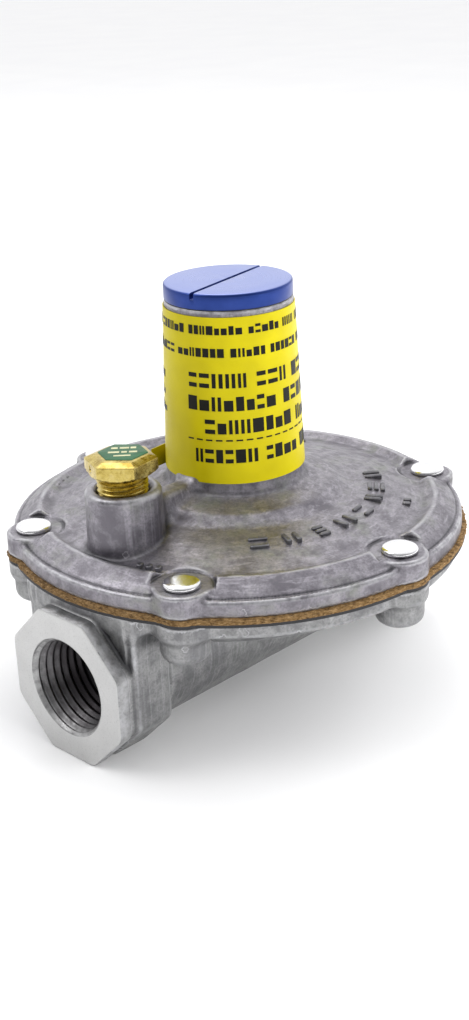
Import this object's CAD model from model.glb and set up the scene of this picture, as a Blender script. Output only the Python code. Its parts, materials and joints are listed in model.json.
"""Looks of a gas line pressure regulator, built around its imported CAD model.

Lengths are millimetres until a mesh is made.
"""
import itertools
import json
import math
import random

import bmesh
import bpy
import numpy as np
from mathutils import Matrix, Vector


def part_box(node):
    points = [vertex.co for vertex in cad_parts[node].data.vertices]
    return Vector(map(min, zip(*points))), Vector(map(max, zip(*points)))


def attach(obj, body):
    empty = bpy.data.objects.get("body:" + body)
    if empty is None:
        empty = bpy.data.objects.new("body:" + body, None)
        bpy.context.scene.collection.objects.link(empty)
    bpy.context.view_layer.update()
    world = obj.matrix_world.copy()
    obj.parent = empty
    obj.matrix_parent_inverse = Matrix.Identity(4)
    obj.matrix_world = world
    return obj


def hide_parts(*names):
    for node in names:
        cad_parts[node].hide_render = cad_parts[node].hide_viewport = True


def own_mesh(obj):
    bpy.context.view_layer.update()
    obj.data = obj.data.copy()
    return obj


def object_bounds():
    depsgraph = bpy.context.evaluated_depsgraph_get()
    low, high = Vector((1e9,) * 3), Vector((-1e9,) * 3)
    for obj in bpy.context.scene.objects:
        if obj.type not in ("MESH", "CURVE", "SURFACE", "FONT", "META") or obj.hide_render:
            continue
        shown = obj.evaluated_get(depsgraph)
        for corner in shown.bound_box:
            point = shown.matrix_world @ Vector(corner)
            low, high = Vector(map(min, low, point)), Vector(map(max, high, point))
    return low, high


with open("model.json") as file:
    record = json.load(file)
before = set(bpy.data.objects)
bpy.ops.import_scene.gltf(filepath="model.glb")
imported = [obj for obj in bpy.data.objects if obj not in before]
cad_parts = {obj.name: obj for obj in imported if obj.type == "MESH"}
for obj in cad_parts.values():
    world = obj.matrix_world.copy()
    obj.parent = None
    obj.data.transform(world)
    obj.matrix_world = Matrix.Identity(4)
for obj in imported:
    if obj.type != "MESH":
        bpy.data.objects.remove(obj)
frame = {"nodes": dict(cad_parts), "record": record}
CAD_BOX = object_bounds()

MM = 0.001


def box_mm(node):
    """A CAD node's lowest and highest corners, in millimetres."""
    low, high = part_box(node)
    return np.array(low) / MM, np.array(high) / MM


# ---- Places read from the frame ----
BODY_HIGH = box_mm("valve_body")[1]
GASKET_LOW, GASKET_HIGH = box_mm("flange_gasket")
HOUSING_LOW, HOUSING_HIGH = box_mm("upper_housing")
RIVET_LOW, RIVET_HIGH = box_mm("case_rivets")
LABEL_HIGH = box_mm("stack_label")[1]
CAP_LOW, CAP_HIGH = box_mm("seal_cap")
VENT_LOW, VENT_HIGH = box_mm("vent_limiter_body")
TAG_LOW = box_mm("vent_tag")[0]
SPRING_LOW, SPRING_HIGH = box_mm("regulating_spring")

PORT = {m["name"]: m for m in frame["record"]["mounts"]}["outlet_port"]
AXIS_Z = PORT["pos_m"][2] / MM
PORT_RADIUS = PORT["dims"]["r_mm"]
THREAD_DEPTH = PORT["dims"]["length_mm"]
HALF_SPAN = BODY_HIGH[0]
FLANGE_Z = BODY_HIGH[2]
RIM_DROP = 0.8
HOUSING_Z = HOUSING_LOW[2] + RIM_DROP
STACK_HEIGHT = HOUSING_HIGH[2] - HOUSING_Z
HOUSING_RADIUS = HOUSING_HIGH[0]
GASKET_RADIUS = GASKET_HIGH[0]
CAP_RADIUS = CAP_HIGH[0]
VENT_X = (VENT_LOW[0] + VENT_HIGH[0]) / 2

# ---- Case: sizes in millimetres, the same as in the CAD ----
HUB_FLATS = 31.0
HUB_LENGTH = 14.0
COLLAR = 3.0
NECK = 1.7
NECK_STEP = 0.6
PIPE_RADIUS = 13.5
PASSAGE_RADIUS = 7.5
LOWER_FLANGE_RADIUS = HOUSING_RADIUS - 0.6
LOWER_FLANGE = 3.3
CHAMBER_RADIUS = 39.2
CHAMBER_DEPTH = 7.6
WALL = 2.2
EAR_RADIUS = 5.6
SPOT_FACE_RADIUS = 6.4
RIVET_HEAD_RADIUS = 3.65
RIVET_HEAD_HEIGHT = 1.3
RIVET_STEP = math.radians(60)
RIVET_CIRCLE = RIVET_HIGH[1] - RIVET_HEAD_RADIUS
PAD_Z = RIVET_HIGH[2] - RIVET_HEAD_HEIGHT
STACK_FOOT_RADIUS = 14.4
STACK_FOOT_HEIGHT = 10.9
LABEL_FOOT = 13.0
TAIL_DROP = 1.8
SPRING_BORE = 10.5
VENT_BOSS_RADIUS = 7.6
VENT_BOSS_TOP = VENT_LOW[2] + 7.5
HEX_FLATS = 12.7
HEX_HEIGHT = 3.4
HEX_TURN = math.radians(7.3)
SIDE_HOLE_TURN = math.radians(157.3)
NPT_HALF_PITCH = 25.4 / 14
NPT_EIGHTH_PITCH = 25.4 / 27
CAP_PITCH = 1.5
CAP_SLOT_TURN = math.radians(11)


# ---- Distance fields: negative inside the metal ----
def melt(a, b, k):
    """Union of two solids with a fillet about k wide between them."""
    h = np.clip(0.5 + 0.5 * (b - a) / k, 0, 1)
    return b + (a - b) * h - k * h * (1 - h)


def trim(a, b, k):
    """The part of a that is also in b, its new edges rounded over k."""
    return -melt(-a, -b, k)


def cut(a, b, k):
    """a with b taken away, the new edges rounded over k."""
    return -melt(-a, b, k)


def slab(v, low, high):
    """Distance from the layer between two levels."""
    return np.abs(v - (low + high) / 2) - (high - low) / 2


def cone(r, z, low, r_low, high, r_high):
    """Distance from the side of a cone about Z that has two known radii."""
    slope = (r_high - r_low) / (high - low)
    return (r - r_low - (z - low) * slope) / math.hypot(1, slope)


def rivet_distance(x, y):
    """Distance in plan from the nearest rivet's axis."""
    turn = np.arctan2(y, x) % RIVET_STEP - RIVET_STEP / 2
    r = np.hypot(x, y)
    squared = r * r + RIVET_CIRCLE**2 - 2 * r * RIVET_CIRCLE * np.cos(turn)
    return np.sqrt(np.maximum(squared, 1e-6))


def casting_skin(x, y, z):
    """The slight waviness of a die-cast surface."""
    waves = 0.035 * np.sin(0.55 * x + 1.7 * np.sin(0.31 * y))
    return waves * np.sin(0.47 * y + 0.6 * z + 1.1 * np.sin(0.23 * x))


def rounded(corners):
    """An outline whose corners (r, z, radius) become short curves."""
    out = []
    for before, corner, after in zip(corners[-1:] + corners, corners, corners[1:] + corners[:1]):
        here = np.array(corner[:2], float)
        ends = []
        for other in (before, after):
            away = np.array(other[:2], float) - here
            length = np.linalg.norm(away)
            ends.append(here + away / length * min(corner[2], 0.45 * length))
        for t in np.linspace(0, 1, 5):
            out.append((1 - t) ** 2 * ends[0] + 2 * t * (1 - t) * here + t**2 * ends[1])
    return out


def outline_field(corners):
    """A function of (r, z): the distance to an outline, looked up in a fine table."""
    points = rounded(corners)
    cell = 0.1
    margin = 4.0
    corner = np.min(points, 0) - margin
    size = np.max(points, 0) + margin - corner
    r = corner[0] + cell * np.arange(int(size[0] / cell) + 2)[:, None]
    z = corner[1] + cell * np.arange(int(size[1] / cell) + 2)[None, :]
    nearest = np.full((r.shape[0], z.shape[1]), np.inf)
    inside = np.zeros(nearest.shape, bool)
    for (ar, az), (br, bz) in zip(points, points[1:] + points[:1]):
        er, ez = br - ar, bz - az
        t = np.clip(((r - ar) * er + (z - az) * ez) / (er * er + ez * ez + 1e-12), 0, 1)
        nearest = np.minimum(nearest, (r - ar - er * t) ** 2 + (z - az - ez * t) ** 2)
        if abs(ez) > 1e-9:
            inside ^= ((az > z) != (bz > z)) & (r < er * (z - az) / ez + ar)
    table = (np.where(inside, -1, 1) * np.sqrt(nearest)).astype(np.float32)

    def field(radius, height):
        u = np.clip((radius - corner[0]) / cell, 0, table.shape[0] - 1.001)
        v = np.clip((height - corner[1]) / cell, 0, table.shape[1] - 1.001)
        i, j = u.astype(np.int32), v.astype(np.int32)
        fu, fv = (u - i).astype(np.float32), (v - j).astype(np.float32)
        low = table[i, j] * (1 - fu) + table[i + 1, j] * fu
        high = table[i, j + 1] * (1 - fu) + table[i + 1, j + 1] * fu
        return low * (1 - fv) + high * fv

    return field


def field_slope(field, points):
    """A field's value and gradient at some points."""
    reach = 0.04
    slope = np.empty_like(points)
    for axis in range(3):
        step = np.zeros(3)
        step[axis] = reach
        ahead, behind = (points + step).T, (points - step).T
        slope[:, axis] = (field(*ahead) - field(*behind)) / (2 * reach)
    return field(*points.T), slope


def surface_of(field, low, high, cell):
    """Points, quads and normals of the surface where a field is zero.

    Each grid cell that the surface crosses holds one point, first at the mean of its edge
    crossings and then moved on to the surface. Each grid edge that crosses it gives a quad.
    """
    ticks = [np.arange(a, b + cell, cell, dtype=np.float32) for a, b in zip(low, high)]
    value = field(*np.meshgrid(*ticks, indexing="ij", sparse=True)).astype(np.float32)
    inside = value < 0
    count = np.zeros([len(t) - 1 for t in ticks], np.uint8)
    near_or_far = (slice(0, -1), slice(1, None))
    for corner in itertools.product(near_or_far, repeat=3):
        count += inside[corner]
    cells = np.argwhere((count > 0) & (count < 8))
    number = np.full(count.shape, -1, np.int32)
    number[tuple(cells.T)] = np.arange(len(cells))
    total = np.zeros((len(cells), 3))
    hits = np.zeros((len(cells), 1))
    quads = []
    unit = np.eye(3, dtype=int)
    for axis in range(3):
        along, side_u, side_v = np.roll(unit, -axis, 0)
        for start in (0 * along, side_u, side_v, side_u + side_v):
            a = value[tuple((cells + start).T)]
            b = value[tuple((cells + start + along).T)]
            crossed = (a < 0) != (b < 0)
            t = np.where(crossed, a / np.where(crossed, a - b, 1), 0)[:, None]
            total += crossed[:, None] * (cells + start + t * along)
            hits += crossed[:, None]
        near = np.take(inside, range(0, inside.shape[axis] - 1), axis)
        far = np.take(inside, range(1, inside.shape[axis]), axis)
        edges = np.argwhere(near != far)
        ring = [edges, edges - side_u, edges - side_u - side_v, edges - side_v]
        quad = np.stack([number[tuple(e.T)] for e in ring], 1)
        outward = near[tuple(edges.T)]
        quads.append(np.where(outward[:, None], quad, quad[:, ::-1]))
    points = np.array(low) + cell * total / hits
    for _ in range(4):
        distance, slope = field_slope(field, points)
        move = distance / np.maximum((slope**2).sum(1), 0.2)
        points -= np.clip(move, -cell / 2, cell / 2)[:, None] * slope
    slope = field_slope(field, points)[1]
    normals = slope / np.maximum(np.linalg.norm(slope, axis=1, keepdims=True), 1e-6)
    return points, np.concatenate(quads), normals


# ---- Meshes ----
def new_object(name, points, faces, materials, slots=None):
    """A mesh object from points in millimetres."""
    mesh = bpy.data.meshes.new(name)
    mesh.from_pydata((np.asarray(points) * MM).tolist(), [], [list(map(int, f)) for f in faces])
    for material in materials:
        mesh.materials.append(material)
    if slots is not None:
        mesh.polygons.foreach_set("material_index", np.asarray(slots, np.int32))
    obj = bpy.data.objects.new(name, mesh)
    bpy.context.scene.collection.objects.link(obj)
    mesh.shade_smooth()
    return obj


def tidy_mesh(obj, crease):
    """Joins doubled points, turns faces outward and keeps edges over crease degrees crisp."""
    work = bmesh.new()
    work.from_mesh(obj.data)
    bmesh.ops.remove_doubles(work, verts=work.verts, dist=0.002 * MM)
    bmesh.ops.dissolve_degenerate(work, edges=work.edges, dist=0.001 * MM)
    bmesh.ops.recalc_face_normals(work, faces=work.faces)
    for edge in work.edges:
        edge.smooth = edge.calc_face_angle(0) < math.radians(crease)
    for face in work.faces:
        face.smooth = True
    work.to_mesh(obj.data)
    work.free()
    return obj


def casting(name, field, low, high, cell, materials):
    """A die-cast piece meshed from its distance field."""
    points, quads, normals = surface_of(field, low, high, cell)
    obj = new_object(name, points, quads, materials)
    obj.data.normals_split_custom_set_from_vertices(normals.tolist())
    return obj


class Skin:
    """Points and faces collected from several strips before they become one mesh."""

    def __init__(self):
        self.points, self.faces, self.slots = [], [], []

    def rings(self, rings, slots=0, close=False, first_cap=False, last_cap=False, turn_shift=0):
        """Skins rings of equal length.

        On a thread the rows follow a helix, so the seam joins a row's last point to the
        row turn_shift later, one pitch further on.
        """
        rings = np.asarray(rings, float)
        rows, around = rings.shape[:2]
        base = len(self.points)
        self.points.extend(rings.reshape(-1, 3))
        slots = slots if hasattr(slots, "__len__") else [slots] * rows
        for i in range(rows if close else rows - 1):
            below = (i + 1) % rows
            for j in range(around):
                k = (j + 1) % around
                jump = turn_shift if k == 0 else 0
                corner_a = base + min(i + jump, rows - 1) * around + k
                corner_b = base + min(below + jump, rows - 1) * around + k
                self.faces.append((base + i * around + j, corner_a, corner_b, base + below * around + j))
                self.slots.append(slots[i])
        if first_cap:
            self.faces.append(tuple(base + j for j in range(around)))
            self.slots.append(slots[0])
        if last_cap:
            self.faces.append(tuple(base + (rows - 1) * around + j for j in range(around)))
            self.slots.append(slots[-1])
        return self

    def turned(self, profile, angles, centre=(0, 0), **caps):
        """Skins the (radius, height) points of a profile round a vertical axis."""
        return self.rings([upright_ring(r, z, angles, centre) for r, z in profile], **caps)

    def box(self, low, high, place, bevel, slot=0):
        """A block with chamfered edges, its corners carried by the function place."""
        low, high = np.array(low, float), np.array(high, float)
        outline = []
        for sx, sy in ((0, 0), (1, 0), (1, 1), (0, 1)):
            x, y = (low[0], high[0])[sx], (low[1], high[1])[sy]
            ix, iy = (1, -1)[sx] * bevel, (1, -1)[sy] * bevel
            pair = [(x, y + iy), (x + ix, y)]
            outline += pair if (sx + sy) % 2 == 0 else pair[::-1]
        outline = np.array(outline)
        middle = (low[:2] + high[:2]) / 2
        rings = []
        for z, inset in ((low[2], bevel), (low[2] + bevel, 0), (high[2] - bevel, 0), (high[2], bevel)):
            scale = 1 - 2 * inset / (high[:2] - low[:2])
            flat = middle + (outline - middle) * scale
            rings.append([place(np.array([px, py, z])) for px, py in flat])
        return self.rings(rings, slot, first_cap=True, last_cap=True)

    def make(self, name, materials, crease=35.0):
        """The finished mesh object."""
        return tidy_mesh(new_object(name, self.points, self.faces, materials, self.slots), crease)


def circle(count):
    """Equally spaced angles round a full turn."""
    return np.arange(count) / count * 2 * math.pi


def upright_ring(radii, z, angles, centre=(0, 0)):
    """A ring about a vertical axis."""
    radii = np.broadcast_to(radii, angles.shape)
    z = np.broadcast_to(z, angles.shape)
    return np.stack([centre[0] + radii * np.cos(angles), centre[1] + radii * np.sin(angles), z], 1)


def polygon_radius(angles, flats, sides, softness=60):
    """Radius of a regular polygon with slightly rounded corners, a flat facing angle 0."""
    total = 0
    for i in range(sides):
        total = total + np.maximum(np.cos(angles - i * 2 * math.pi / sides), 0) ** softness
    return flats / 2 * total ** (-1 / softness)


def thread_rows(pitch, length, around, per_turn, radius_at, start_radius, end_radius):
    """Depth along the axis and radius of the rows of a thread, which follow its helix.

    The triangle wave is taken a little past its limits, so crests and roots are flat.
    """
    last = math.ceil(length / pitch * per_turn)
    depths = []
    radii = []
    turn = np.arange(around) / around
    for row in range(-per_turn, last + 1):
        depth = pitch * (row / per_turn + turn)
        wave = abs(2 * (row / per_turn % 1) - 1)
        crest = min(max(wave * 1.3 - 0.15, 0), 1)
        radius = radius_at(depth, crest)
        radius = np.where(depth <= 0, start_radius, np.where(depth >= length, end_radius, radius))
        depths.append(np.clip(depth, 0, length))
        radii.append(radius)
    return np.array(depths), np.array(radii)


# ---- Materials ----
class Nodes:
    """Short-hand for building one procedural material."""

    def __init__(self, name):
        self.material = bpy.data.materials.new(name)
        self.material.use_nodes = True
        self.tree = self.material.node_tree
        self.shader = self.tree.nodes["Principled BSDF"]
        self.place = self.add("ShaderNodeTexCoord").outputs["Object"]

    def add(self, kind, **settings):
        node = self.tree.nodes.new(kind)
        for key, value in settings.items():
            setattr(node, key, value)
        return node

    def link(self, value, socket):
        """Feeds a socket from another node's output, or sets its number or colour."""
        if hasattr(value, "links"):
            self.tree.links.new(value, socket)
        else:
            socket.default_value = (*value, 1) if isinstance(value, tuple) else value

    def noise(self, size_mm, detail=3.0, roughness=0.55, stretch=None, source=None):
        """Noise whose features are about size_mm across."""
        node = self.add("ShaderNodeTexNoise")
        node.inputs["Scale"].default_value = 1 / (size_mm * MM)
        node.inputs["Detail"].default_value = detail
        node.inputs["Roughness"].default_value = roughness
        source = source or self.place
        if stretch:
            mapping = self.add("ShaderNodeMapping")
            mapping.inputs["Scale"].default_value = stretch
            self.link(self.place, mapping.inputs["Vector"])
            source = mapping.outputs["Vector"]
        self.link(source, node.inputs["Vector"])
        return node.outputs["Fac"]

    def radius(self):
        """Distance from the vertical axis, and the direction away from it."""
        flat = self.add("ShaderNodeVectorMath", operation="MULTIPLY")
        flat.inputs[1].default_value = (1, 1, 0)
        self.link(self.place, flat.inputs[0])
        length = self.add("ShaderNodeVectorMath", operation="LENGTH")
        unit = self.add("ShaderNodeVectorMath", operation="NORMALIZE")
        for node in (length, unit):
            self.link(flat.outputs[0], node.inputs[0])
        return length.outputs["Value"], unit.outputs[0]

    def swirl(self, size_mm, detail=3.0, roughness=0.6):
        """Noise about size_mm wide, drawn out into arcs round the vertical axis."""
        arc_radius = 8 * MM
        radius, direction = self.radius()
        outward = self.add("ShaderNodeCombineXYZ")
        self.link(radius, outward.inputs[2])
        node = self.add("ShaderNodeVectorMath", operation="MULTIPLY_ADD")
        node.inputs[1].default_value = (arc_radius,) * 3
        self.link(direction, node.inputs[0])
        self.link(outward.outputs[0], node.inputs[2])
        return self.noise(size_mm, detail, roughness, source=node.outputs[0])

    def ramp(self, value, stops):
        node = self.add("ShaderNodeValToRGB")
        elements = node.color_ramp.elements
        while len(elements) < len(stops):
            elements.new(0.5)
        for element, (at, colour) in zip(elements, stops):
            element.position = at
            element.color = (*colour, 1)
        self.link(value, node.inputs["Fac"])
        return node.outputs["Color"]

    def mix(self, fac, a, b):
        node = self.add("ShaderNodeMix", data_type="RGBA")
        for value, number in ((fac, 0), (a, 6), (b, 7)):
            self.link(value, node.inputs[number])
        return node.outputs[2]

    def stain(self, base, value, low, high, amount, colour):
        """Lays a colour over base, from none where value is low to amount where it is high."""
        return self.mix(self.fit(value, low, high, 0.0, amount), base, colour)

    def math(self, operation, a, b=0.0):
        node = self.add("ShaderNodeMath", operation=operation)
        self.link(a, node.inputs[0])
        self.link(b, node.inputs[1])
        return node.outputs[0]

    def fit(self, value, low, high, out_low, out_high):
        """Carries a value from one range to another, held at its ends."""
        node = self.add("ShaderNodeMapRange")
        for i, number in enumerate((low, high, out_low, out_high)):
            node.inputs[i + 1].default_value = number
        self.link(value, node.inputs[0])
        return node.outputs[0]

    def bump(self, height, depth_mm, strength=1.0, after=None):
        node = self.add("ShaderNodeBump")
        node.inputs["Distance"].default_value = depth_mm * MM
        node.inputs["Strength"].default_value = strength
        self.link(height, node.inputs["Height"])
        if after is not None:
            self.link(after, node.inputs["Normal"])
        return node.outputs["Normal"]

    def add_fits(self, first, first_range, second, second_range):
        """The sum of two noises, each carried from its middle range 0.3 to 0.7 to its own range."""
        fitted = self.fit(first, 0.3, 0.7, *first_range)
        return self.math("ADD", fitted, self.fit(second, 0.3, 0.7, *second_range))

    def finish(self, colour, metallic, roughness, normal=None, **uniform):
        inputs = self.shader.inputs
        self.link(metallic, inputs["Metallic"])
        self.link(colour, inputs["Base Color"])
        self.link(roughness, inputs["Roughness"])
        if normal is not None:
            self.link(normal, inputs["Normal"])
        for name, value in uniform.items():
            inputs[name.replace("_", " ")].default_value = value
        return self.material


def cast_metal(name, light, dark, tint):
    """Die-cast aluminium: cloudy colour, flow arcs, fine pits, worn edges and grime in creases.

    Pointiness is 0.5 on smooth metal, more on an edge and less in a crease. Wear fades out
    again above 0.55, so sharp bumps in the casting don't turn white.
    """
    n = Nodes(name)
    clouds = n.noise(8, 5, 0.6)
    blotches = n.noise(2.2, 5, 0.65)
    arcs = n.swirl(0.9, 4, 0.65)
    grain = n.noise(0.5, 3, 0.7)
    edges = n.add("ShaderNodeNewGeometry").outputs["Pointiness"]
    pale = tuple(min(c * 1.5, 1) for c in light)
    base = n.ramp(clouds, ((0.36, dark), (0.52, light), (0.66, tint)))
    base = n.stain(base, blotches, 0.45, 0.68, 0.75, dark)
    base = n.stain(base, arcs, 0.52, 0.70, 0.6, pale)
    base = n.mix(n.fit(grain, 0.35, 0.55, 0.45, 0.0), base, (0.13, 0.13, 0.14))
    rounded_edge = n.fit(edges, 0.51, 0.53, 0.0, 0.7)
    rounded_edge = n.math("MULTIPLY", rounded_edge, n.fit(edges, 0.55, 0.57, 1.0, 0.0))
    worn = n.math("MULTIPLY", rounded_edge, n.fit(blotches, 0.40, 0.60, 0.15, 1.0))
    base = n.mix(worn, base, (0.62, 0.62, 0.64))
    base = n.stain(base, edges, 0.495, 0.465, 0.85, (0.06, 0.06, 0.065))
    rough = n.add_fits(clouds, (0.34, 0.5), grain, (-0.04, 0.06))
    rough = n.math("ADD", rough, n.fit(blotches, 0.4, 0.65, -0.03, 0.08))
    normal = n.bump(grain, 0.05, 0.9)
    normal = n.bump(blotches, 0.09, 0.8, normal)
    return n.finish(base, 0.9, rough, normal)


def machined_metal(name, colour):
    """Freshly cut aluminium with faint tool marks."""
    n = Nodes(name)
    marks = n.noise(0.5, 3, 0.6, stretch=(0.2, 1.0, 1.0))
    grain = n.noise(0.3, 2, 0.6)
    base = n.stain(colour, n.noise(4, 3), 0.35, 0.7, 0.35, tuple(c * 0.8 for c in colour))
    base = n.stain(base, grain, 0.55, 0.75, 0.5, tuple(c * 0.62 for c in colour))
    return n.finish(base, 0.85, n.fit(marks, 0.3, 0.7, 0.3, 0.45), n.bump(marks, 0.02, 0.6))


def cut_thread():
    """Tapped wall of a port: bright at the mouth, dull and dark with old compound further in."""
    n = Nodes("tapped_thread")
    split = n.add("ShaderNodeSeparateXYZ")
    n.link(n.place, split.inputs[0])
    depth = n.math("SUBTRACT", HALF_SPAN * MM, n.math("ABSOLUTE", split.outputs[0]))
    smear = n.noise(1.5, 4, 0.65)
    base = n.ramp(n.fit(depth, 0.5 * MM, 9 * MM, 0.0, 1.0),
                  ((0.0, (0.40, 0.40, 0.40)), (0.3, (0.17, 0.165, 0.17)), (1.0, (0.035, 0.032, 0.035))))
    base = n.stain(base, smear, 0.4, 0.7, 0.6, (0.06, 0.05, 0.055))
    return n.finish(base, 0.85, n.fit(smear, 0.3, 0.7, 0.3, 0.5), n.bump(n.noise(0.3, 2), 0.015, 0.6))


def plain_metal(name, colour, roughness, grain_mm=0.4, blotch=0.15, depth=0.012):
    """A bright metal with slight blotches, fine scratches and uneven gloss."""
    n = Nodes(name)
    cloud = n.noise(3.0, 4, 0.6)
    scratch = n.noise(grain_mm, 3, 0.65, stretch=(1.0, 1.0, 3.0))
    darker = tuple(c * (1 - 2 * blotch) for c in colour)
    base = n.stain(colour, cloud, 0.4, 0.7, 1.0, darker)
    rough = n.add_fits(cloud, (roughness - 0.04, roughness + 0.08), scratch, (-0.03, 0.05))
    return n.finish(base, 1.0, rough, n.bump(scratch, depth, 0.7))


def brass_metal():
    """Turned brass with darker tarnish and fine lathe lines."""
    n = Nodes("turned_brass")
    cloud = n.noise(2.5, 4, 0.6)
    base = n.ramp(cloud, ((0.35, (0.34, 0.24, 0.05)), (0.52, (0.52, 0.41, 0.12)),
                          (0.7, (0.66, 0.54, 0.22))))
    base = n.stain(base, n.noise(0.9, 4, 0.7), 0.52, 0.72, 0.6, (0.20, 0.13, 0.03))
    lines = n.noise(0.25, 2, 0.5, stretch=(0.15, 0.15, 2.0))
    rough = n.add_fits(cloud, (0.2, 0.34), lines, (-0.03, 0.05))
    return n.finish(base, 1.0, rough, n.bump(lines, 0.015, 0.7))


def fibre_board():
    """Brown gasket board: pressed layers of fibre with dark flecks."""
    n = Nodes("gasket_board")
    fibres = n.noise(0.8, 5, 0.7, stretch=(1.0, 1.0, 3.5))
    flecks = n.noise(1.1, 4, 0.75, stretch=(1.0, 1.0, 2.0))
    base = n.ramp(fibres, ((0.3, (0.055, 0.030, 0.012)), (0.5, (0.21, 0.125, 0.050)),
                           (0.68, (0.38, 0.25, 0.12))))
    base = n.stain(base, flecks, 0.52, 0.68, 0.9, (0.025, 0.015, 0.010))
    return n.finish(base, 0.0, n.fit(fibres, 0.3, 0.7, 0.95, 0.75), n.bump(fibres, 0.15, 0.9),
                    Specular_IOR_Level=0.2)


def soft_rubber(name, colour):
    """Matt rubber with a little pale dust."""
    n = Nodes(name)
    dust = n.noise(1.6, 4, 0.7)
    base = n.stain(colour, dust, 0.45, 0.7, 0.5, tuple(c * 2.2 + 0.01 for c in colour))
    return n.finish(base, 0.0, n.fit(dust, 0.3, 0.7, 0.55, 0.8), n.bump(n.noise(0.3, 2), 0.03, 0.7))


def printed_film(name, colour, deep, ripple_mm=9.0):
    """Coloured film stuck down with faint ripples under it."""
    n = Nodes(name)
    ripple = n.noise(ripple_mm, 2, 0.5)
    speck = n.noise(0.5, 3, 0.6)
    base = n.stain(colour, ripple, 0.35, 0.7, 0.7, deep)
    base = n.stain(base, speck, 0.55, 0.8, 0.25, deep)
    normal = n.bump(ripple, 0.25, 0.35, n.bump(speck, 0.01, 0.5))
    return n.finish(base, 0.0, n.fit(speck, 0.3, 0.7, 0.34, 0.48), normal, Specular_IOR_Level=0.16)


def anodised():
    """Blue dyed aluminium: deep at the sides, paler on top, with the fine rings of the lathe."""
    n = Nodes("blue_anodised_cap")
    rings = n.add("ShaderNodeTexNoise", noise_dimensions="1D")
    rings.inputs["Scale"].default_value = 1 / (0.22 * MM)
    rings.inputs["Detail"].default_value = 3
    n.link(n.radius()[0], rings.inputs["W"])
    turned = rings.outputs["Fac"]
    cloud = n.noise(6, 3, 0.5)
    facing = n.add("ShaderNodeSeparateXYZ")
    n.link(n.add("ShaderNodeNewGeometry").outputs["Normal"], facing.inputs[0])
    top = n.stain((0.22, 0.27, 0.55), turned, 0.4, 0.8, 0.6, (0.40, 0.45, 0.70))
    side = n.stain((0.018, 0.042, 0.20), cloud, 0.35, 0.7, 1.0, (0.030, 0.060, 0.26))
    base = n.stain(side, facing.outputs[2], 0.7, 0.98, 1.0, top)
    rough = n.add_fits(turned, (0.26, 0.4), cloud, (-0.02, 0.04))
    return n.finish(base, 0.85, rough, n.bump(turned, 0.012, 0.6))


# ---- Lower casting ----
UNDER_FLANGE_Z = FLANGE_Z - LOWER_FLANGE
FLOOR_Z = FLANGE_Z - CHAMBER_DEPTH
BLOCK_X = HALF_SPAN - COLLAR - NECK
BLOCK_END_X = HALF_SPAN - HUB_LENGTH
SLEEVE_RADIUS = 12.6
SLEEVE_POCKET = 12.3
SLEEVE_END_X = HALF_SPAN - THREAD_DEPTH


def hub_octagon(x, y, rise):
    """Distance from the sides of the hub's octagonal bar."""
    across, up = np.abs(y), np.abs(rise)
    corner = (across + up) * math.sqrt(0.5)
    return -melt(-np.maximum(across, up), -corner, 1.0) - HUB_FLATS / 2


def valve_room(x, y, z):
    """The open rooms and passages inside the lower casting, cut where the CAD has them."""
    r = np.hypot(x, y)
    pipe_r = np.hypot(y, z - AXIS_Z)
    room = trim(cone(r, z, FLOOR_Z, CHAMBER_RADIUS - 4.5, FLANGE_Z, CHAMBER_RADIUS), FLOOR_Z - z, 1.0)
    lever_box = np.maximum(np.maximum(slab(x, -13, 23), np.abs(y) - 9), slab(z, 7.3, FLOOR_Z + 1))
    guide_rib = np.maximum(slab(x, 5, 10), z - AXIS_Z - 4.7)
    pin_lugs = np.maximum(np.maximum(slab(x, 11.4, 16.6), 3 - np.abs(y)), slab(z, AXIS_Z, AXIS_Z + 9.7))
    lever_box = cut(cut(lever_box, guide_rib, 0.4), pin_lugs, 0.4)
    room = melt(room, lever_box, 0.8)
    passages = np.maximum(pipe_r - PASSAGE_RADIUS, np.minimum(x + 20, 22 - x))
    orifice_bore = np.maximum(pipe_r - 5.5, slab(x, -21, -12))
    guide_bore = np.maximum(pipe_r - 4, slab(x, 4, 11))
    sleeve_pockets = np.maximum(pipe_r - SLEEVE_POCKET, SLEEVE_END_X - 0.05 - np.abs(x))
    for bore in (passages, orifice_bore, guide_bore, sleeve_pockets):
        room = np.minimum(room, bore)
    return room


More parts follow.
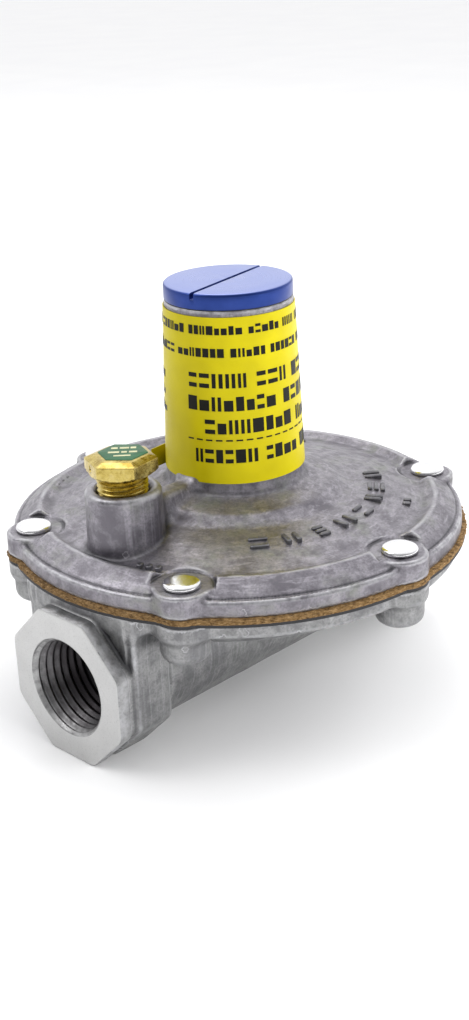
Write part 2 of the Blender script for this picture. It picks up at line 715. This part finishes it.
def valve_body_field(x, y, z):
    """The lower casting: pipe, hub blocks, flange with its ears, bowl and rivet bosses."""
    r = np.hypot(x, y)
    along, across, rise = np.abs(x), np.abs(y), z - AXIS_Z
    d = rivet_distance(x, y)
    pipe = np.hypot(y, rise) - PIPE_RADIUS
    web = np.maximum(across - PIPE_RADIUS + 0.5, -rise)
    pipe = np.maximum(melt(pipe, web, 1.0), along - BLOCK_X)
    octagon = hub_octagon(x, y, rise)
    block = np.minimum(octagon, np.maximum(across - HUB_FLATS / 2, -rise))
    block = trim(block, slab(along, BLOCK_END_X, BLOCK_X), 1.1)
    neck = np.maximum(octagon + NECK_STEP, slab(along, BLOCK_X - 2, BLOCK_X + NECK + 0.1))
    bar = melt(melt(pipe, block, 1.6), neck, 0.5)
    flange = melt(r - LOWER_FLANGE_RADIUS, d - EAR_RADIUS, 1.5)
    flange = trim(flange, slab(z, UNDER_FLANGE_Z, FLANGE_Z + 2), 1.2)
    bowl_z = FLOOR_Z - WALL
    bowl = cone(r, z, bowl_z, CHAMBER_RADIUS - 4, UNDER_FLANGE_Z, CHAMBER_RADIUS + WALL)
    bowl = trim(bowl, slab(z, bowl_z, FLANGE_Z), 1.5)
    bosses = trim(d - EAR_RADIUS + 0.7, slab(z, UNDER_FLANGE_Z - 5.4, FLANGE_Z), 2.6)
    case = melt(melt(flange, bowl, 2.2), bosses, 1.6)
    solid = melt(bar, case, 2.4) + casting_skin(x, y, z)
    solid = trim(solid, z - FLANGE_Z, 0.3)
    solid = np.maximum(solid, -z)
    return cut(solid, valve_room(x, y, z), 0.4)


def port_hub(name, turn, cast, machined, thread):
    """One port's wrench collar, machined face and tapered pipe thread."""
    around = 144
    per_turn = 12
    angles = -circle(around)
    collar = polygon_radius(angles, HUB_FLATS, 8)
    back_x = HALF_SPAN - COLLAR
    mouth = 10.4
    taper = 1 / 32

    def radius_at(depth, crest):
        root = mouth - 0.1 - depth * taper
        tooth = PORT_RADIUS + 0.35 * (1 - depth / THREAD_DEPTH)
        runout = np.clip((THREAD_DEPTH - depth) / 2.5, 0, 1)
        threaded = root - (root - tooth) * (1 - (1 - crest) * runout)
        return np.maximum(threaded, mouth - 0.1 - depth)

    depths, radii = thread_rows(NPT_HALF_PITCH, THREAD_DEPTH, around, per_turn, radius_at, mouth, PORT_RADIUS)
    cast_side = [(SLEEVE_END_X - 0.3, SLEEVE_RADIUS), (back_x, SLEEVE_RADIUS), (back_x, collar - 0.45),
                 (back_x + 0.13, collar - 0.13), (back_x + 0.45, collar), (HALF_SPAN - 0.4, collar)]
    cut_face = [(HALF_SPAN - 0.12, collar - 0.12), (HALF_SPAN, collar - 0.4), (HALF_SPAN, collar - 0.7),
                (HALF_SPAN, (collar + 11.5) / 2), (HALF_SPAN, 11.0), (HALF_SPAN, mouth + 0.12)]
    finish_slots = [0] * len(cast_side) + [1] * (len(cut_face) + 1)

    def ring(x, radius):
        radius = np.broadcast_to(radius, angles.shape)
        x = np.broadcast_to(x, angles.shape)
        return np.stack([x, radius * np.cos(angles), AXIS_Z + radius * np.sin(angles)], 1)

    skin = Skin()
    rings = [ring(x, r) for x, r in cast_side + cut_face] + [ring(HALF_SPAN - depths[0], radii[0])]
    skin.rings(rings, finish_slots)
    skin.rings([ring(HALF_SPAN - s, r) for s, r in zip(depths, radii)], 2, turn_shift=per_turn)
    tail = [(SLEEVE_END_X, PORT_RADIUS), (SLEEVE_END_X - 0.05, PASSAGE_RADIUS + 0.1),
            (SLEEVE_END_X - 0.3, PASSAGE_RADIUS + 0.1), (SLEEVE_END_X - 0.3, SLEEVE_RADIUS)]
    skin.rings([ring(x, r) for x, r in tail], 0)
    obj = skin.make(name, [cast, machined, thread])
    obj.data.transform(Matrix.Rotation(turn, 4, "Z"))
    return obj


# ---- Upper casting ----
def housing_outline():
    """The housing's outline from rim to stack, and the fillet at each corner."""
    rim, foot = HOUSING_RADIUS, STACK_FOOT_RADIUS
    return [(0, -RIM_DROP, 0), (rim, -RIM_DROP, 0.35), (rim, 2.1, 0.5), (rim - 0.5, 2.55, 0.4),
            (rim - 1.2, 2.35, 0.3), (rim - 1.4, 2.8, 0.3), (rim - 3.2, 4.2, 0.8), (rim - 5.2, 5.35, 0.7),
            (rim - 6, 5.3, 0.6), (rim - 7.4, 4.2, 1.0), (rim - 8.6, 4.1, 1.5), (30, 6.1, 2),
            (foot + 8.6, 6.95, 1.2), (foot + 6.4, 8.6, 0.8), (foot + 5.8, 8.85, 0.6), (foot + 0.8, 10.1, 1.5),
            (foot, STACK_FOOT_HEIGHT, 1.2), (CAP_RADIUS, STACK_HEIGHT, 0.3), (0, STACK_HEIGHT, 0)]


def cavity_outline():
    """The room over the diaphragm and the spring's bore."""
    return [(0, -4, 0), (CHAMBER_RADIUS, -4, 0), (CHAMBER_RADIUS, 0.6, 0.5), (CHAMBER_RADIUS - 3, 1.4, 1),
            (29, 3.7, 1), (STACK_FOOT_RADIUS + 6, 4.7, 1), (STACK_FOOT_RADIUS + 4.4, 6.2, 1),
            (SPRING_BORE + 1, 7.8, 1), (SPRING_BORE, 9, 0.5), (SPRING_BORE, STACK_HEIGHT - 29, 0),
            (SPRING_BORE + 0.5, STACK_HEIGHT - 29, 0), (SPRING_BORE + 0.5, STACK_HEIGHT + 3, 0),
            (0, STACK_HEIGHT + 3, 0)]


outer_shape = outline_field(housing_outline())
inner_shape = outline_field(cavity_outline())


def upper_housing_field(x, y, z):
    """The upper casting: turned shell with ears, vent boss, rib, spot faces and cavity."""
    r = np.hypot(x, y)
    h = z - HOUSING_Z
    pad = PAD_Z - HOUSING_Z
    boss_top = VENT_BOSS_TOP - HOUSING_Z
    d = rivet_distance(x, y)
    boss_r = np.hypot(x - VENT_X, y)
    shell = outer_shape(r, h)
    shell = melt(shell, trim(d - EAR_RADIUS, slab(h, -RIM_DROP, pad), 0.6), 1.0)
    boss = trim(boss_r - VENT_BOSS_RADIUS - 0.012 * (boss_top - h), slab(h, 1, boss_top), 1.3)
    rib = np.maximum(np.abs(y) - 2.9 + 0.12 * (h - 8), slab(x, VENT_X, -STACK_FOOT_RADIUS + 1))
    rib = trim(rib, slab(h, 3, LABEL_FOOT - 0.4), 1.6)
    shell = melt(melt(shell, boss, 1.0), rib, 2.4) + casting_skin(x, y, z)
    shell = np.maximum(shell, -RIM_DROP - h)
    shell = cut(shell, trim(d - SPOT_FACE_RADIUS, pad - h, 0.3), 0.4)
    hole = np.maximum(boss_r - 5.25 - np.maximum(h - boss_top + 0.7, 0), slab(h, boss_top - 8, boss_top + 2))
    return cut(cut(shell, hole, 0.3), inner_shape(r, h), 0.3)


def polar_place(angle, base_z, centre=(0, 0)):
    """Carries (radial, sideways, up) to the frame, at an angle round a vertical axis."""
    out = np.array([math.cos(angle), math.sin(angle), 0])
    side = np.array([-math.sin(angle), math.cos(angle), 0])
    origin = np.array([centre[0], centre[1], base_z])
    return lambda p: origin + p[0] * out + p[1] * side + np.array([0, 0, p[2]])


def cast_marks(material):
    """Plain raised bars and frames on the dome, in place of the maker's cast-in name."""
    skin = Skin()
    inner, outer = 27.6, 31.2
    foot, top, fall = 5.0, 6.85, 0.12
    bar = 0.95
    for i in range(8):
        place = polar_place(math.radians(232 + 13 * i), HOUSING_Z)
        half = 1.9 - (i % 3) * 0.35
        if i % 2:
            spans = [(inner, outer, -half, -half + bar), (inner, outer, half - bar, half)]
        else:
            spans = [(inner, inner + bar, -half, half), (outer - bar, outer, -half, half)]
        if i % 4 == 2:
            middle = (inner + outer) / 2
            spans.append((middle - bar / 2, middle + bar / 2, -half, half))
        for near, far, left, right in spans:
            skin.box((near, left, foot), (far, right, top - fall * (near - inner)), place, 0.2)
    small = [(112, 41.0, 3), (300, 36.0, 2), (195, 38.6, 3), (18, 35.0, 2)]
    for turn, radius, count in small:
        for k in range(count):
            place = polar_place(math.radians(turn + 3.0 * k), HOUSING_Z)
            skin.box((radius - 0.8, -0.5, 3.2), (radius + 0.8, 0.5, 5.0 + 0.09 * (39 - radius)), place, 0.15)
    return skin.make("dome_cast_marks", [material])


# ---- Gasket, rivets ----
def gasket_edge(material):
    """The rough edge of the fibre gasket, standing proud of both castings."""
    around = 900
    angles = circle(around)
    draw = random.Random(7)
    waves = [(draw.randint(20, 260), draw.uniform(0, 6.28), draw.uniform(0.02, 0.05)) for _ in range(14)]
    rough = sum(size * np.sin(count * angles + phase) for count, phase, size in waves)
    turn = (angles % RIVET_STEP) - RIVET_STEP / 2
    sideways = RIVET_CIRCLE * np.sin(turn)
    reach = np.sqrt(np.maximum(EAR_RADIUS**2 + 0.8 - sideways**2, 0))
    ear = np.where(np.abs(sideways) < EAR_RADIUS, RIVET_CIRCLE * np.cos(turn) + reach, 0)
    rim = -melt(-np.full(around, GASKET_RADIUS), -ear, 0.8) + 0.05
    low, high = GASKET_LOW[2] - 0.03, GASKET_HIGH[2] + 0.03
    mid = (low + high) / 2
    profile = [(low, -3, 0), (low, -0.25, 0.4), (low + 0.1, -0.02, 1), (mid - 0.25, 0.06, 1.2),
               (mid - 0.05, -0.1, 1), (mid + 0.08, -0.1, 1), (mid + 0.3, 0.08, 1.3), (high - 0.1, 0, 1),
               (high, -0.25, 0.4), (high, -3, 0)]
    rings = []
    for z, offset, share in profile:
        fibre = np.array([draw.uniform(-0.05, 0.05) for _ in range(around)]) * share
        rings.append(upright_ring(rim + offset + rough * share + fibre, z, angles))
    return Skin().rings(rings, close=True).make("gasket_edge", [material], 60)


def rivets(material):
    """Six clinched rivets with broad, slightly crowned heads and upset tails."""
    skin = Skin()
    tail_z = RIVET_LOW[2]
    head, shank = RIVET_HEAD_RADIUS, 2.4
    crown = ((0.35, 0), (0.1, 0.08), (0, 0.3), (0.02, 0.62), (0.14, 0.88), (0.42, 1.08), (0.9, 1.2),
             (1.7, 1.27))
    profile = [(shank - 0.5, tail_z), (shank, tail_z + 0.5), (shank, PAD_Z)]
    profile += [(head - inset, PAD_Z + rise) for inset, rise in crown]
    profile.append((0.8, PAD_Z + RIVET_HEAD_HEIGHT))
    angles = circle(48)
    for i in range(6):
        turn = RIVET_STEP * (i + 0.5)
        centre = (RIVET_CIRCLE * math.cos(turn), RIVET_CIRCLE * math.sin(turn))
        skin.turned(profile, angles, centre, first_cap=True, last_cap=True)
    return skin.make("case_rivet_heads", [material], 50)


# ---- Stack: label, print, cap ----
PRINT_TURN = math.radians(224.7)
LABEL_SEAM = math.radians(100)


def stack_radius(z):
    """Radius of the tapered stack at a height."""
    share = (z - HOUSING_Z - STACK_FOOT_HEIGHT) / (STACK_HEIGHT - STACK_FOOT_HEIGHT)
    return STACK_FOOT_RADIUS + (CAP_RADIUS - STACK_FOOT_RADIUS) * share


def label_film(material):
    """Film wound round the stack, with a loose tail at its foot."""
    low, high = HOUSING_Z + LABEL_FOOT, LABEL_HIGH[2]
    angles = LABEL_SEAM + np.linspace(0, math.radians(352), 150)
    heights = np.linspace(low, high, 14)
    ripple = 0.03 * np.sin(5 * angles[None, :] + 0.4 * heights[:, None]) + 0.03
    skin = Skin()
    outer, inner = [], []
    for z, wave in zip(heights, ripple):
        outer.append(upright_ring(stack_radius(z) + 0.22 + wave, z, angles))
        inner.append(upright_ring(stack_radius(z) + 0.02, z, angles))
    sheet(skin, np.array(outer), np.array(inner))
    tail_length, tail_height = 9.0, 4.3
    tail_foot = low - TAIL_DROP
    start = stack_radius(tail_foot) + 0.1
    out = np.array([math.cos(LABEL_SEAM), math.sin(LABEL_SEAM), 0])
    side = np.array([-math.sin(LABEL_SEAM), math.cos(LABEL_SEAM), 0])
    front, back = [], []
    for z in np.linspace(tail_foot, tail_foot + tail_height, 4):
        line = []
        for s in np.linspace(-0.8, tail_length, 16):
            lifted = start + 0.5 * (s / tail_length) ** 2
            line.append(side * s + out * lifted + np.array([0, 0, z]))
        front.append([p + out * 0.2 for p in line])
        back.append(line)
    sheet(skin, np.array(front), np.array(back))
    return skin.make("stack_label_film", [material], 50)


def sheet(skin, front, back):
    """A thin closed sheet between two equal grids of points."""
    rows, columns = front.shape[:2]
    rim = [(i, 0) for i in range(rows)] + [(rows - 1, j) for j in range(1, columns)]
    rim += [(i, columns - 1) for i in range(rows - 2, -1, -1)] + [(0, j) for j in range(columns - 2, 0, -1)]
    base = len(skin.points)
    skin.points.extend(front.reshape(-1, 3))
    skin.points.extend(back.reshape(-1, 3))
    second = base + rows * columns
    for i in range(rows - 1):
        for j in range(columns - 1):
            corners = [i * columns + j, i * columns + j + 1, (i + 1) * columns + j + 1, (i + 1) * columns + j]
            skin.faces.append(tuple(base + c for c in corners))
            skin.faces.append(tuple(second + c for c in corners[::-1]))
            skin.slots += [0, 0]
    for (ai, aj), (bi, bj) in zip(rim, rim[1:] + rim[:1]):
        a, b = ai * columns + aj, bi * columns + bj
        skin.faces.append((base + a, second + a, second + b, base + b))
        skin.slots.append(0)


def print_block(skin, turn, width, z, height):
    """One printed block on the label: its left edge's angle, its width and its middle height."""
    radius = stack_radius(z)
    turns = turn + np.linspace(0, width / radius, max(2, int(width / 0.7) + 1))
    front, back = [], []
    for level in (z - height / 2, z + height / 2):
        front.append(upright_ring(stack_radius(level) + 0.315, level, turns))
        back.append(upright_ring(stack_radius(level) + 0.15, level, turns))
    sheet(skin, np.array(front), np.array(back))


def label_print(material):
    """Rows of plain blocks in place of the label's wording.

    A row is its middle height, its blocks' height and width, where it starts and how far it
    goes round in degrees, and the gap between blocks.
    """
    draw = random.Random(21)
    skin = Skin()
    degree = math.radians(1)
    headings = [(80.0, 1.75, 1.15, -175, 320, 0.35), (75.5, 1.75, 1.15, -175, 320, 0.35)]
    front_rows = [(69.9, 2.9, 2.0, -38, 150, 0.55), (65.2, 2.9, 2.0, -39, 150, 0.55),
                  (60.5, 2.9, 2.0, -24, 130, 0.55), (54.4, 2.8, 1.75, -33, 120, 0.5)]
    back_rows = [(z, 1.5, 1.0, 135, sweep, 0.35)
                 for z, sweep in ((69.0, 150), (65.5, 150), (62.0, 150), (58.5, 110))]
    for z, height, width, start, sweep, gap in headings + front_rows + back_rows:
        turn = PRINT_TURN + start * degree
        end = turn + sweep * degree
        blocks_left = draw.randint(4, 8)
        while turn < end:
            step = width * draw.uniform(0.75, 1.15)
            form = draw.choice((0, 0, 1, 2, 3))
            stroke = 0.3 * height
            if form == 0:
                print_block(skin, turn, step, z, height)
            elif form == 1:
                print_block(skin, turn, step, z + height / 2 - stroke / 2, stroke)
                print_block(skin, turn, step, z - height / 2 + stroke / 2, stroke)
            elif form == 2:
                print_block(skin, turn, step, z - height * 0.12, height * 0.76)
            else:
                print_block(skin, turn, step * 0.36, z, height)
                print_block(skin, turn + step * 0.64 / stack_radius(z), step * 0.36, z, height)
            turn += (step + gap) / stack_radius(z)
            blocks_left -= 1
            if blocks_left == 0:
                turn += width * 0.8 / stack_radius(z)
                blocks_left = draw.randint(3, 9)
    dash_z = 57.7
    for k in range(15):
        print_block(skin, PRINT_TURN + (-40 + 8.3 * k) * degree, 1.3, dash_z, 0.3)
    return skin.make("stack_label_print", [material], 50)


def seal_cap(blue):
    """Screw cap: slotted head over a threaded, hollow shank."""
    foot = CAP_LOW[2]
    head_z = foot + 5.0
    top = CAP_HIGH[2]
    around = 96
    per_turn = 10
    angles = circle(around)
    r = CAP_RADIUS
    root, bore, thread_length = 10.3, 9.0, 4.6
    slot_width, slot_depth = 0.9, 1.3

    def radius_at(depth, crest):
        return root + 0.05 + 0.6 * crest

    skin = Skin()
    head = [(0.5, top), (4, top), (8, top), (r - 0.6, top), (r - 0.25, top - 0.07), (r - 0.07, top - 0.25),
            (r, top - 0.55), (r, head_z + 0.3), (r - 0.12, head_z + 0.08), (r - 0.4, head_z), (11.3, head_z),
            (root, head_z)]
    skin.turned(head, angles, first_cap=True)
    depths, radii = thread_rows(CAP_PITCH, thread_length, around, per_turn, radius_at, root, root)
    skin.turned(zip(radii, head_z - depths), -angles, turn_shift=per_turn)
    shank = [(root, head_z - thread_length), (10.2, foot + 0.1), (10.0, foot), (bore + 0.1, foot),
             (bore, foot + 0.1), (bore, head_z - 0.2)]
    skin.turned(shank, -angles, last_cap=True)
    cap = skin.make("screw_cap", [blue])
    slot = Skin().box((-r - 2, -slot_width / 2, top - slot_depth), (r + 2, slot_width / 2, top + 1),
                      polar_place(CAP_SLOT_TURN, 0), 0.05)
    carve(cap, slot.make("slot_tool", [blue]))
    soften(cap, 0.1)
    return cap


def carve(obj, tool):
    """Takes the tool's shape out of a piece."""
    modifier = obj.modifiers.new("cut", "BOOLEAN")
    modifier.operation = "DIFFERENCE"
    modifier.solver = "EXACT"
    modifier.object = tool
    apply_modifiers(obj)
    bpy.data.objects.remove(tool)


def soften(obj, width_mm):
    """Rounds a piece's sharp edges."""
    modifier = obj.modifiers.new("edges", "BEVEL")
    modifier.width = width_mm * MM
    modifier.segments = 2
    modifier.limit_method = "ANGLE"
    modifier.angle_limit = math.radians(45)
    apply_modifiers(obj)


def apply_modifiers(obj):
    """Replaces a piece's mesh with what its modifiers make of it."""
    bpy.context.view_layer.update()
    evaluated = obj.evaluated_get(bpy.context.evaluated_depsgraph_get())
    mesh = bpy.data.meshes.new_from_object(evaluated)
    obj.modifiers.clear()
    old = obj.data
    obj.data = mesh
    bpy.data.meshes.remove(old)


# ---- Vent limiter ----
def hexagon_radius(angles, flats, softness):
    """Radius of a hexagon turned as the vent limiter is."""
    return polygon_radius(angles - HEX_TURN - math.radians(30), flats, 6, softness)


def vent_limiter(brass):
    """Brass plug: taper thread, necked hexagon with bevelled top and a side hole."""
    around = 96
    per_turn = 8
    angles = circle(around)
    top = VENT_HIGH[2]
    hex_z = top - HEX_HEIGHT
    foot = VENT_LOW[2]
    thread_z = foot + 0.3
    length = hex_z - foot - 0.6
    root, neck = 4.3, 4.6
    hole_radius, hole_z = 0.55, hex_z + 1.4

    def radius_at(depth, crest):
        return root + depth * 0.02 + 0.6 * crest

    skin = Skin()
    skin.turned([(3.6, foot), (4.2, thread_z), (root, thread_z)], angles, first_cap=True)
    depths, radii = thread_rows(NPT_EIGHTH_PITCH, length, around, per_turn, radius_at, root, neck)
    skin.turned(zip(radii, thread_z + depths), angles, turn_shift=per_turn)
    hexagon = hexagon_radius(angles, HEX_FLATS, 90)
    flat_top = hexagon * (1 - 1.5 / (HEX_FLATS / 2))
    upper = [(neck, thread_z + length), (neck, hex_z), (5.6, hex_z),
             (np.minimum(hexagon, HEX_FLATS / 2 + 0.05), hex_z), (np.minimum(hexagon, 6.9), hex_z + 0.25),
             (hexagon, hex_z + 0.55), (hexagon, top - 0.75), (hexagon - 0.08, top - 0.62),
             (flat_top + 0.15, top - 0.05), (flat_top, top), (flat_top * 0.5, top)]
    skin.turned(upper, angles, last_cap=True)
    plug = skin.make("vent_limiter_plug", [brass], 28)
    place = polar_place(SIDE_HOLE_TURN, 0)
    rings = []
    for x in (1.5, HEX_FLATS):
        section = [(hole_radius * math.cos(a), hole_z + hole_radius * math.sin(a)) for a in circle(24)]
        rings.append([place(np.array([x, across, up])) for across, up in section])
    hole = Skin().rings(rings, first_cap=True, last_cap=True)
    carve(plug, hole.make("hole_tool", [brass]))
    plug.data.transform(Matrix.Translation((VENT_X * MM, 0, 0)))
    return plug


def vent_sticker(green, cream):
    """Green sticker stuck a little off centre on the hexagon, with plain cream dashes."""
    angles = circle(96)
    hexagon = hexagon_radius(angles, HEX_FLATS - 4.0, 70)
    low = TAG_LOW[2]
    high = low + 0.12
    offset = 0.95
    away = PRINT_TURN + math.pi - math.radians(25)
    centre = (VENT_X + offset * math.cos(away), offset * math.sin(away))
    profile = [(hexagon, low), (hexagon, high - 0.03), (hexagon - 0.04, high), (hexagon * 0.5, high)]
    skin = Skin().turned(profile, angles, centre, first_cap=True, last_cap=True)
    place = polar_place(PRINT_TURN, high - 0.02, centre)
    marks = [(-2.2, -2.4, 0.9, 1.3), (-2.2, -0.7, 0.85, 1.8), (-2.2, 1.4, 0.9, 1.1), (0.1, -2.9, 0.8, 2.2),
             (0.1, -0.3, 0.8, 1.1), (0.1, 1.2, 0.8, 1.6), (2.1, -1.7, 0.6, 3.3)]
    for x, y, deep, wide in marks:
        skin.box((x - deep / 2, y, 0), (x + deep / 2, y + wide, 0.07), place, 0.02, slot=1)
    return skin.make("vent_sticker", [green, cream], 40)


# ---- Spring ----
def spring_coil(material):
    """Round wire wound from the diaphragm's plate up to the seat washer."""
    wire, coil, turns, per_turn = 0.9, 8.5, 6.5, 40
    steps = round(turns * per_turn)
    foot = SPRING_LOW[2] + wire
    rise = SPRING_HIGH[2] - wire - foot
    section = circle(14)
    radii = coil + wire * np.cos(section)
    rings = []
    for step in range(steps + 1):
        t = step / steps
        turn = 2 * math.pi * step / per_turn
        z = foot + rise * (0.75 * t + 0.25 * t * t * (3 - 2 * t)) + wire * np.sin(section)
        rings.append(np.stack([radii * math.cos(turn), radii * math.sin(turn), z], 1))
    return Skin().rings(rings, first_cap=True, last_cap=True).make("spring_wire_coil", [material], 60)


# ---- Materials in use ----
CAST = cast_metal("die_cast_body", (0.33, 0.33, 0.33), (0.19, 0.19, 0.195), (0.29, 0.295, 0.29))
CAST_UPPER = cast_metal("die_cast_housing", (0.315, 0.30, 0.33), (0.155, 0.145, 0.165), (0.27, 0.275, 0.26))
CAST_MARK = cast_metal("die_cast_marks", (0.20, 0.195, 0.21), (0.10, 0.10, 0.11), (0.17, 0.175, 0.17))
THREAD = cut_thread()
MACHINED = machined_metal("machined_port", (0.54, 0.54, 0.535))
BRASS = brass_metal()
RIVET = plain_metal("rivet_metal", (0.84, 0.84, 0.85), 0.16, 0.5, 0.06)
STEEL = plain_metal("zinc_plated_steel", (0.60, 0.62, 0.66), 0.3)
SPRING = plain_metal("spring_wire", (0.36, 0.37, 0.41), 0.28, 0.25)
BALL = plain_metal("polished_ball", (0.80, 0.80, 0.82), 0.08, 0.6, 0.02, 0.003)
ALUMINIUM = plain_metal("turned_aluminium", (0.72, 0.72, 0.74), 0.28, 0.3, 0.08)
BLUE = anodised()
GASKET = fibre_board()
RUBBER = soft_rubber("diaphragm_rubber", (0.018, 0.018, 0.02))
SEAL = soft_rubber("seal_rubber", (0.015, 0.015, 0.015))
YELLOW = printed_film("yellow_label_film", (0.60, 0.51, 0.002), (0.46, 0.38, 0.002))
INK = printed_film("label_ink", (0.006, 0.006, 0.004), (0.012, 0.012, 0.008))
GREEN = printed_film("green_sticker", (0.05, 0.15, 0.075), (0.03, 0.09, 0.05), 2.0)
CREAM = printed_film("cream_print", (0.72, 0.70, 0.45), (0.5, 0.5, 0.3), 2.0)

# CAD nodes that show as they are, most of them inside the case.
NODE_LOOKS = {
    "flange_gasket": GASKET, "diaphragm": RUBBER, "upper_diaphragm_plate": STEEL,
    "lower_diaphragm_plate": STEEL, "diaphragm_stem": BRASS, "stem_nut": STEEL, "spring_seat": STEEL,
    "adjusting_screw": ALUMINIUM, "cap_seal": SEAL, "vent_ball": BALL, "vent_ball_seat": BRASS,
    "orifice_seat": BRASS, "valve_disc": SEAL, "disc_holder": ALUMINIUM, "valve_guide": BRASS,
    "valve_lever": STEEL, "lever_pin": STEEL}
for node, look in NODE_LOOKS.items():
    frame["nodes"][node].data.materials.clear()
    frame["nodes"][node].data.materials.append(look)


def place_piece(obj, body, slot, *replaced):
    """Puts a piece on its body and says which CAD nodes it stands in for."""
    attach(obj, body)
    if replaced:
        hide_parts(*replaced)
    return obj


# ---- Assembly ----
CELL = 0.42
MARGIN = 1.2
edge = LOWER_FLANGE_RADIUS + 5
body = casting("valve_body_casting", valve_body_field, (-edge, -edge, -MARGIN),
               (edge, edge, FLANGE_Z + MARGIN), CELL, [CAST])
place_piece(body, "regulator_body", "casting", "valve_body")
for name, turn in (("inlet_port_hub", math.pi), ("outlet_port_hub", 0.0)):
    place_piece(port_hub(name, turn, CAST, MACHINED, THREAD), "regulator_body", "casting")

edge = HOUSING_RADIUS + 4
shell = casting("upper_housing_casting", upper_housing_field, (-edge, -edge, HOUSING_LOW[2] - MARGIN),
                (edge, edge, HOUSING_HIGH[2] + MARGIN), CELL, [CAST_UPPER])
place_piece(shell, "regulator_body", "casting_dark", "upper_housing")
place_piece(cast_marks(CAST_MARK), "regulator_body", "casting_dark")
place_piece(gasket_edge(GASKET), "regulator_body", "gasket")
place_piece(rivets(RIVET), "regulator_body", "rivet_metal", "case_rivets")
place_piece(label_film(YELLOW), "regulator_body", "yellow_label", "stack_label")
place_piece(label_print(INK), "regulator_body", "yellow_label")
place_piece(seal_cap(BLUE), "seal_cap", "blue_anodised", "seal_cap")
place_piece(vent_limiter(BRASS), "regulator_body", "brass", "vent_limiter_body")
place_piece(vent_sticker(GREEN, CREAM), "regulator_body", "green_tag", "vent_tag")
coil = place_piece(spring_coil(SPRING), "diaphragm_assembly", "spring_steel", "regulating_spring")
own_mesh(coil)


# ---- Camera, floor and light ----
def add_camera():
    """The photograph's view: a long lens, a little above and turned a few degrees."""
    azimuth, elevation, roll = math.radians(-45.3), math.radians(22.32), math.radians(-2.5)
    distance, shift_x, shift_y, aim_z = 314.15, 0.49, 3.54, 40.8
    level = math.cos(elevation)
    back = Vector((math.sin(azimuth) * level, -math.cos(azimuth) * level, math.sin(elevation)))
    right = Vector((math.cos(azimuth), math.sin(azimuth), 0))
    up = back.cross(right)
    right, up = (math.cos(roll) * right + math.sin(roll) * up, math.cos(roll) * up - math.sin(roll) * right)
    eye = Vector((0, 0, aim_z)) + distance * back - shift_x * right - shift_y * up
    camera = bpy.data.objects.new("camera", bpy.data.cameras.new("camera"))
    turn = Matrix((right, up, back)).transposed().to_4x4()
    camera.matrix_world = Matrix.Translation(eye * MM) @ turn
    camera.data.lens = 52.39
    camera.data.sensor_width = 36
    camera.data.clip_start = 0.01
    camera.data.clip_end = 50
    bpy.context.scene.collection.objects.link(camera)
    bpy.context.scene.camera = camera


def add_softbox(name, place, size, power, aim=(0, 0, 0.03), mirrored=True):
    """A round soft light. One that isn't mirrored lights the floor without showing in the metal."""
    light = bpy.data.lights.new(name, "AREA")
    light.shape = "DISK"
    light.size = size
    light.energy = power
    obj = bpy.data.objects.new(name, light)
    obj.location = place
    obj.rotation_euler = (Vector(aim) - Vector(place)).to_track_quat("-Z", "Y").to_euler()
    obj.visible_glossy = mirrored
    bpy.context.scene.collection.objects.link(obj)


def add_floor():
    """A plain pale floor that meets the part's lowest flats."""
    n = Nodes("pale_floor")
    tone = n.stain((0.90, 0.90, 0.90), n.noise(60, 2), 0.3, 0.7, 1.0, (0.88, 0.88, 0.885))
    material = n.finish(tone, 0.0, 0.9)
    far = 6000
    corners = [(-far, -far, 0), (far, -far, 0), (far, far, 0), (-far, far, 0)]
    floor = new_object("floor", corners, [(0, 1, 2, 3)], [material])
    floor.location.z = CAD_BOX[0][2] - 0.02 * MM


def add_studio_light():
    """A pale sweep behind and above the part, dimmer on the side it is looked at from.

    It depends on direction alone: a dot product, moved up by a half, looks up a grey ramp.
    """
    world = bpy.data.worlds.new("studio")
    world.use_nodes = True
    tree = world.node_tree
    direction = tree.nodes.new("ShaderNodeTexCoord").outputs["Generated"]
    toward = tree.nodes.new("ShaderNodeVectorMath")
    toward.operation = "DOT_PRODUCT"
    toward.inputs[1].default_value = (0.22, 0.21, 0.38)
    tree.links.new(direction, toward.inputs[0])
    shift = tree.nodes.new("ShaderNodeMath")
    shift.operation = "ADD"
    shift.inputs[1].default_value = 0.5
    tree.links.new(toward.outputs["Value"], shift.inputs[0])
    ramp = tree.nodes.new("ShaderNodeValToRGB")
    stops = ((0.2, 0.16), (0.38, 0.22), (0.5, 0.38), (0.6, 0.62), (0.82, 1.0))
    while len(ramp.color_ramp.elements) < len(stops):
        ramp.color_ramp.elements.new(0.5)
    for element, (at, grey) in zip(ramp.color_ramp.elements, stops):
        element.position = at
        element.color = (grey, grey, grey * 1.01, 1)
    tree.links.new(shift.outputs[0], ramp.inputs[0])
    background = tree.nodes["Background"]
    tree.links.new(ramp.outputs[0], background.inputs["Color"])
    background.inputs["Strength"].default_value = 1.25
    bpy.context.scene.world = world


add_camera()
add_floor()
add_studio_light()
add_softbox("key", (-0.50, 0.35, 0.66), 0.45, 1.4)
add_softbox("overhead", (0.25, 0.35, 0.80), 0.5, 1.2)
add_softbox("front_fill", (0.10, -0.75, 0.30), 0.6, 5.0, (0.05, -0.05, 0), mirrored=False)
add_softbox("side_fill", (0.70, 0.0, 0.30), 0.5, 3.0, (0.08, 0, 0), mirrored=False)
bpy.context.scene.view_settings.view_transform = "Standard"
